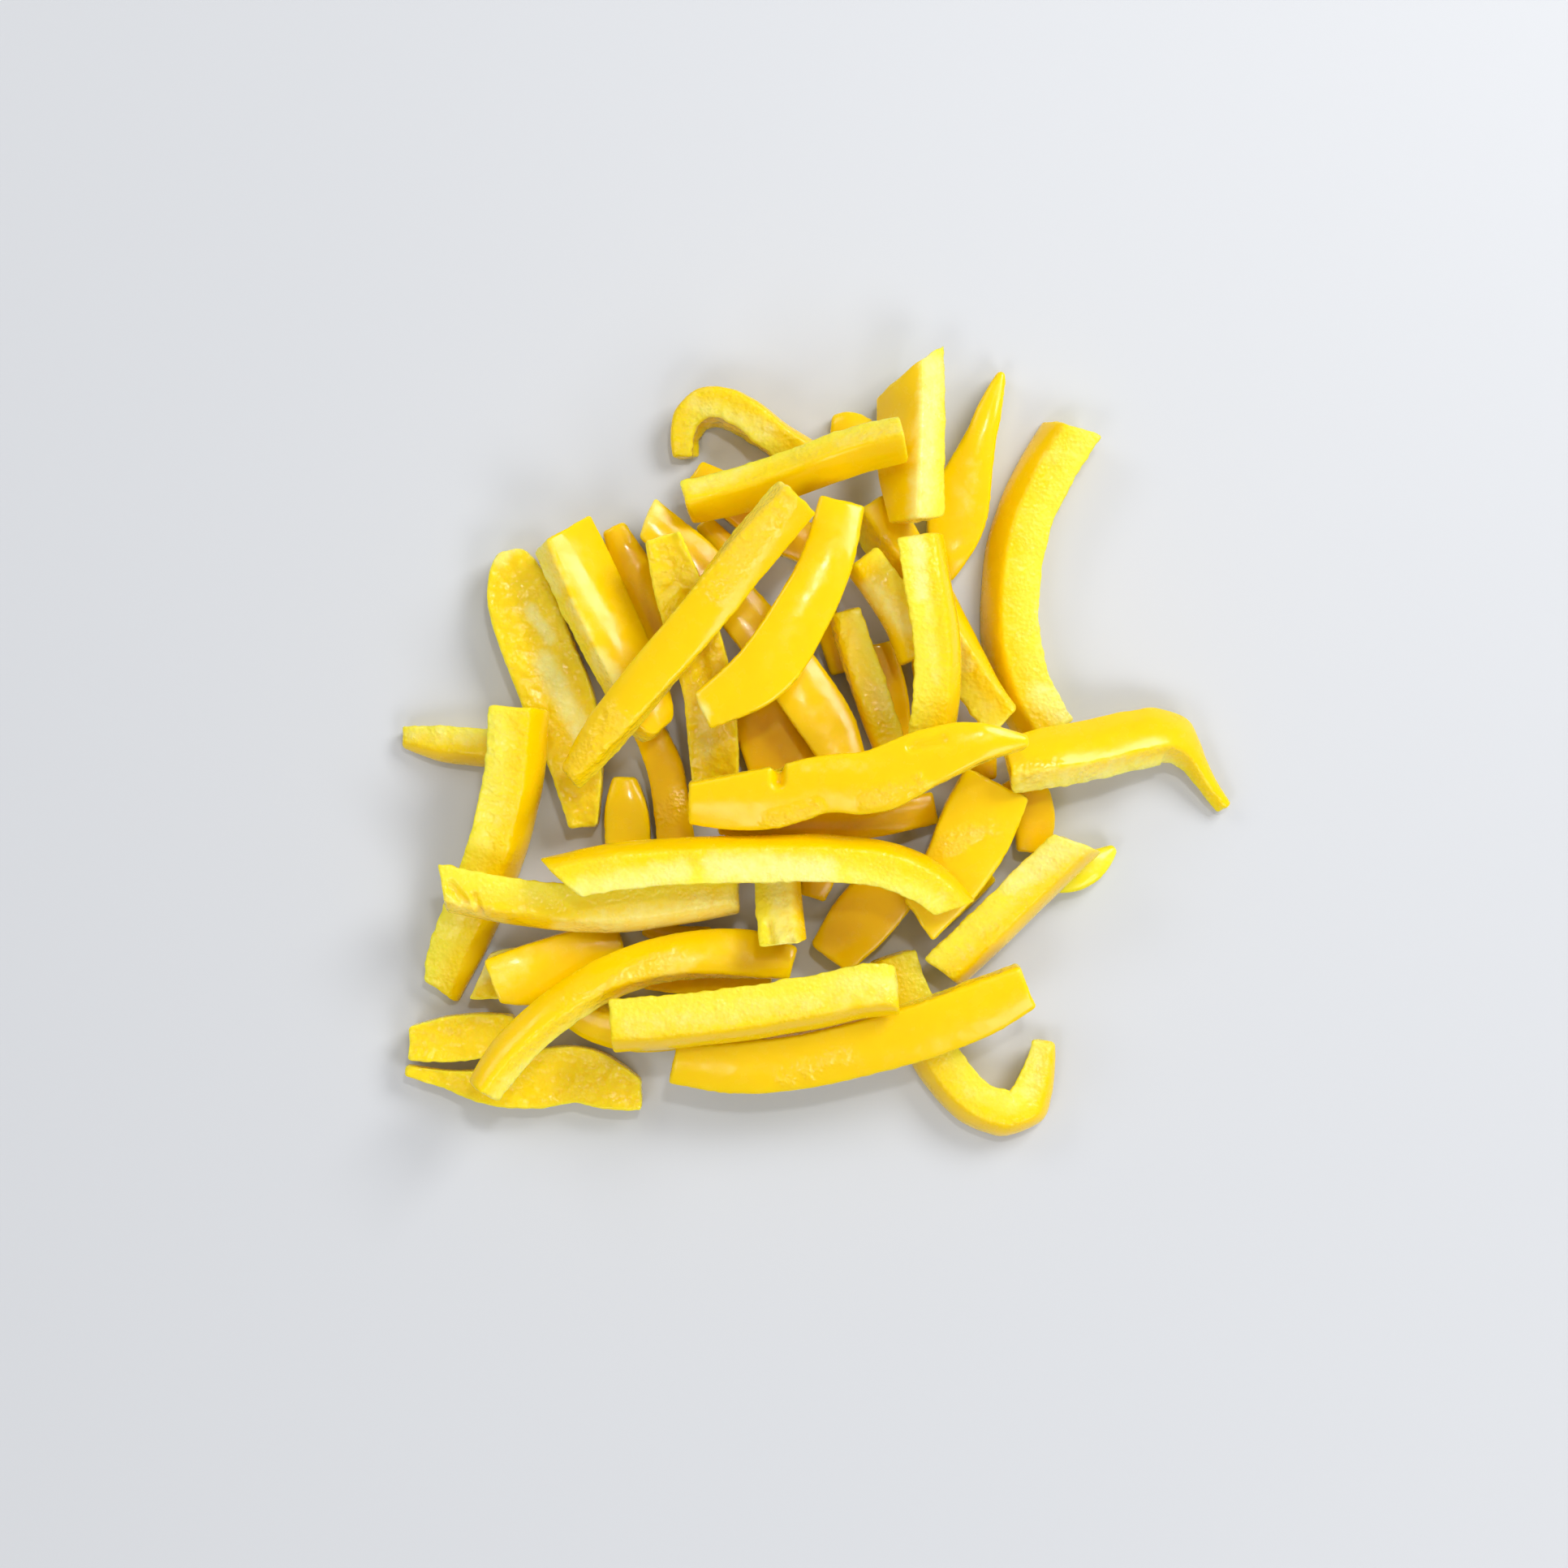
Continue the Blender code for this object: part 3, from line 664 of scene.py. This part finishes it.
# %% Grain group
wet_grain, grain_in, grain_out = group_with(
    "wet_grain",
    [("Float", "Skin Roughness", 0.22), ("Float", "Cut Roughness", 0.3), ("Float", "Wet Roughness", 0.05)],
    [("Float", "Height"), ("Float", "Roughness"), ("Float", "Juice")],
)
cut_share = sum_node(
    wet_grain, "MAXIMUM", attribute_node(wet_grain, "cut_side"),
    sum_node(wet_grain, "MULTIPLY", attribute_node(wet_grain, "inner_side"), 0.6),
)
wet_share = attribute_node(wet_grain, "wet")
grainy = sum_node(wet_grain, "MAXIMUM", cut_share, sum_node(wet_grain, "MULTIPLY", wet_share, 1.6))
cells = wet_grain.nodes.new("ShaderNodeTexVoronoi")
place = wet_grain.nodes.new("ShaderNodeTexCoord")
wet_grain.links.new(place.outputs["Object"], cells.inputs["Vector"])
cells.feature = "SMOOTH_F1"
cells.inputs["Scale"].default_value = 1150.0
cells.inputs["Smoothness"].default_value = 0.4
grain = sum_node(wet_grain, "ADD", cells.outputs["Distance"], noise_node(wet_grain, 900.0, 4.0, 0.75))
smooth_skin = sum_node(wet_grain, "MULTIPLY", noise_node(wet_grain, 500.0, 2.0), 0.12)
patches = range_node(wet_grain, noise_node(wet_grain, 150.0, 3.0, 0.6), 0.4, 0.62, 0.3, 1.0)
height = wet_grain.nodes.new("ShaderNodeMix")
wet_grain.links.new(sum_node(wet_grain, "MULTIPLY", grainy, patches), height.inputs[0])
wet_grain.links.new(smooth_skin, height.inputs[2])
wet_grain.links.new(grain, height.inputs[3])
wet_grain.links.new(height.outputs[0], grain_out.inputs["Height"])
dry = wet_grain.nodes.new("ShaderNodeMix")
wet_grain.links.new(cut_share, dry.inputs[0])
wet_grain.links.new(grain_in.outputs["Skin Roughness"], dry.inputs[2])
wet_grain.links.new(grain_in.outputs["Cut Roughness"], dry.inputs[3])
patchy = range_node(wet_grain, noise_node(wet_grain, 260.0, 3.0, 0.6), 0.35, 0.7, -0.08, 0.10)
dried = sum_node(wet_grain, "ADD", dry.outputs[0], patchy)
juicy = wet_grain.nodes.new("ShaderNodeMix")
wet_grain.links.new(wet_share, juicy.inputs[0])
wet_grain.links.new(dried, juicy.inputs[2])
wet_grain.links.new(grain_in.outputs["Wet Roughness"], juicy.inputs[3])
wet_grain.links.new(juicy.outputs[0], grain_out.inputs["Roughness"])
glints = range_node(wet_grain, noise_node(wet_grain, 330.0, 4.0, 0.7), 0.46, 0.66)
juice = sum_node(wet_grain, "MAXIMUM", sum_node(wet_grain, "MULTIPLY", glints, grainy), wet_share)
wet_grain.links.new(sum_node(wet_grain, "MULTIPLY_ADD", juice, 0.9, 0.1), grain_out.inputs["Juice"])
print("grain group has", len(wet_grain.nodes), "nodes")

# %% [markdown]
# ## The pepper material
#
# The Principled shader carries what is the same all over: flesh that lets light in for a few
# millimetres, and a thin coat of juice. The low strips get a deeper orange copy of the material,
# which is painted shade for the shade and yellow bounce light down in the heap, and one small
# leaf of wall is greener.

# %% Material
BUMP = 0.5
BUMP_DISTANCE = 0.5 * MM


def pepper_material(name, tones=None):
    """The wet pepper material, with its own tones where some are given."""
    material = bpy.data.materials.new(name)
    material.use_nodes = True
    tree = material.node_tree
    shader = tree.nodes["Principled BSDF"]
    colour = tree.nodes.new("ShaderNodeGroup")
    colour.node_tree = wall_colour
    for label, tone in (tones or {}).items():
        colour.inputs[label].default_value = tone
    grain_node = tree.nodes.new("ShaderNodeGroup")
    grain_node.node_tree = wet_grain
    relief_node = tree.nodes.new("ShaderNodeBump")
    relief_node.inputs["Strength"].default_value = BUMP
    relief_node.inputs["Distance"].default_value = BUMP_DISTANCE
    tree.links.new(grain_node.outputs["Height"], relief_node.inputs["Height"])
    tree.links.new(colour.outputs["Colour"], shader.inputs["Base Color"])
    tree.links.new(grain_node.outputs["Roughness"], shader.inputs["Roughness"])
    tree.links.new(relief_node.outputs["Normal"], shader.inputs["Normal"])
    tree.links.new(relief_node.outputs["Normal"], shader.inputs["Coat Normal"])
    tree.links.new(grain_node.outputs["Juice"], shader.inputs["Coat Weight"])
    shader.inputs["IOR"].default_value = 1.36
    shader.inputs["Subsurface Weight"].default_value = 0.6
    shader.inputs["Subsurface Radius"].default_value = (1.0, 0.7, 0.08)
    shader.inputs["Subsurface Scale"].default_value = 0.004
    shader.inputs["Coat Roughness"].default_value = 0.12
    shader.inputs["Coat IOR"].default_value = 1.33
    return material


yellow = pepper_material("yellow_pepper")
# Painted shade: a deeper orange copy of the material for the low strips, standing in for the shade and
# bounce light deep in the heap.
shaded_low_finish = pepper_material(
    "low_shaded_yellow_pepper",
    {
        "Skin": (0.95, 0.57, 0.0, 1),
        "Bright Flesh": (0.95, 0.65, 0.002, 1),
        "Pale Flesh": (0.94, 0.74, 0.03, 1),
        "Inner Side": (0.94, 0.63, 0.003, 1),
    },
)
green = pepper_material(
    "greener_yellow_pepper", {"Skin": (0.84, 0.74, 0.01, 1), "Bright Flesh": (0.86, 0.78, 0.03, 1)}
)
GREEN = ("leaf_low_right",)
LOW_IN_SHADE = ("low_", "fill_", "under_", "slope_", "arch_right_leg")
for node, strip in strips.items():
    flesh_finish = green if node in GREEN else shaded_low_finish if node.startswith(LOW_IN_SHADE) else yellow
    strip.data.materials.append(flesh_finish)
    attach(strip, "root")
    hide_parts(node)
print(len(strips), "strips finished")
